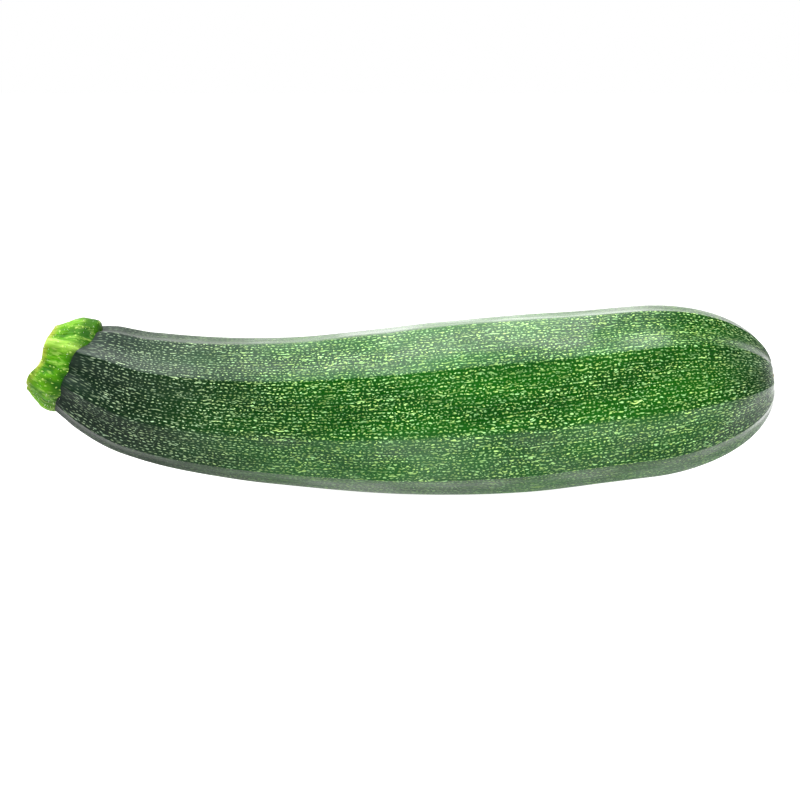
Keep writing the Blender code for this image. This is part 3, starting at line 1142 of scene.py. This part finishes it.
def plain_grained(name, groups, colours, rough, grain_size):
    """A finish of two mottled colours with a fine grain, for the hairs and the scar."""
    material, net, shader = new_material(name)
    place = net.add("ShaderNodeTexCoord").outputs["Object"]
    feeds = {"Place": place, "Stretch": 1.0, "Contrast": 0.2}
    tone = placed(net, groups["mottle"], Size=grain_size, **feeds)["Tone"]
    feeds = {
        "Base Color": net.tint(tone, *colours),
        "Roughness": net.blend(tone, rough, rough + 0.2),
        "Normal": bump(net, tone, 0.6, grain_size / 6),
    }
    net.feed_all(shader, feeds)
    return material


# Stage


def mirrored_glow(net):
    """The floor's glow in reflections.

    It is dim towards the viewer and beside the neck, and brightest in front of the belly and past
    the blossom end.
    """
    x, y, _ = net.separate(net.add("ShaderNodeNewGeometry").outputs["Position"])
    glow = net.span(y, -0.09, -0.045)
    in_front = net.span(y, -0.018, -0.008, 1.0, 0.0)
    beneath = net.minus(1.0, in_front)
    middle = net.times(net.span(x, -0.04, -0.013), net.span(x, -0.013, 0.02, 1.0, 0.0))
    patch = net.times_add(net.times(in_front, middle), 0.4, 1.0)
    glow = net.times(glow, patch)
    shade = net.times(beneath, net.span(x, -0.02, 0.03, 0.25, 0.0))
    glow = net.times(glow, net.minus(1.0, shade))
    glow = net.times(glow, net.span(x, -0.085, -0.03, 0.3, 1.0))
    return net.times(glow, net.span(x, 0.06, 0.1, 1.0, 1.5))


def make_stage():
    white, net, shader = new_material("studio_white")
    mirrored = net.add("ShaderNodeLightPath").outputs["Is Glossy Ray"]
    feeds = {
        "Base Color": (0.3, 0.3, 0.3, 1.0),
        "Roughness": 0.9,
        "Emission Color": (1.0, 1.0, 1.0, 1.0),
        "Emission Strength": net.blend(mirrored, FLOOR_GLOW, mirrored_glow(net)),
    }
    net.feed_all(shader, feeds)
    bpy.ops.mesh.primitive_plane_add(size=FLOOR_SIZE, location=(0.0, 0.0, 0.0))
    floor = bpy.context.object
    floor.name = "floor"
    floor.data.materials.append(white)


def make_lights():
    for name, place, aim, size, power, mirrored in LIGHTS:
        light = bpy.data.lights.new(name, "AREA")
        light.shape = "RECTANGLE"
        light.size, light.size_y = size
        light.energy = power
        made = new_object(name, light)
        made.location = place
        made.rotation_euler = (Vector(aim) - Vector(place)).to_track_quat("-Z", "Y").to_euler()
        made.visible_glossy = mirrored
    world = bpy.data.worlds.new("studio")
    bpy.context.scene.world = world
    world.use_nodes = True
    net = Net(world.node_tree)
    seen = net.add("ShaderNodeLightPath").outputs["Is Camera Ray"]
    glow = net.blend(seen, MIRRORED_SKY_GLOW, SKY_GLOW)
    feeds = {"Color": (1.0, 1.0, 1.0, 1.0), "Strength": glow}
    net.feed_all(world.node_tree.nodes["Background"], feeds)
    bpy.context.scene.view_settings.view_transform = "Standard"


def make_camera():
    low, high = (Vector(corner) for corner in CAD_BOX)
    centre = (low + high) / 2
    camera = bpy.data.cameras.new("camera")
    camera.lens = LENS
    camera.sensor_width = SENSOR
    distance = (high.x - low.x) * VIEW_WIDTH * LENS / SENSOR
    rise = math.radians(VIEW_RISE)
    made = new_object("camera", camera)
    away = Vector((0.0, -math.cos(rise), math.sin(rise)))
    centre.z -= VIEW_DROP
    made.location = centre + away * distance
    made.rotation_euler = (-away).to_track_quat("-Z", "Y").to_euler()
    bpy.context.scene.camera = made


GROUPS = {"flecks": fleck_group(), "specks": speck_group(), "mottle": mottle_group()}

fruit = make_fruit(skin_material(GROUPS))
low, high = corners(fruit)
SHIFT = Vector((FRUIT_BOX[1].x - high.x, 0.0, FRUIT_BOX[1].z - high.z))
fruit.data.transform(Matrix.Translation(SHIFT))
press_belly(fruit)
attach(fruit, BODY)
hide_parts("fruit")

stub = make_stub(stalk_material(GROUPS))
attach(stub, BODY)
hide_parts("stalk")

cut = make_cut(cut_material(GROUPS))
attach(cut, BODY)

bristle_finish = plain_grained("stalk_hair", GROUPS, BRISTLE_COLOURS, 0.4, 0.0005)
bristles = make_bristles(stub, bristle_finish)
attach(bristles, BODY)

scar = make_scar(plain_grained("scar_cork", GROUPS, CORK_COLOURS, 0.65, 0.0009))
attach(scar, BODY)

make_stage()
make_lights()
make_camera()
